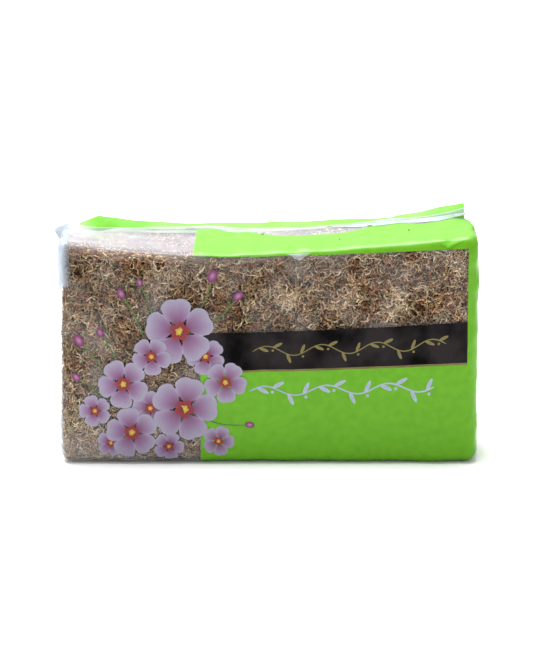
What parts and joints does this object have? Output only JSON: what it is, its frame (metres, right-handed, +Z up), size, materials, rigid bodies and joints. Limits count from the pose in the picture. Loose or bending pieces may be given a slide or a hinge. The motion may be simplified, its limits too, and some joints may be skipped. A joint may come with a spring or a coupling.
{
  "type": "bagged sphagnum moss block",
  "caption": "Pressed block of dried sphagnum moss in a heat-sealed film bag, clear window and green print, standing on its long narrow base.",
  "frame": {"origin": "on the ground under the middle of the bag's box", "axes": "+X along the bag's length to the right seen from the front, -Y out of the front panel, +Z up"},
  "size_m": [0.2984, 0.0672, 0.1743],
  "materials": {
    "dried_moss": "matte",
    "printed_film": "gloss",
    "clear_film": "gloss"
  },
  "bodies": {
    "root": {"moss_block": "dried_moss", "film_bag": "printed_film"}
  },
  "joints": []
}
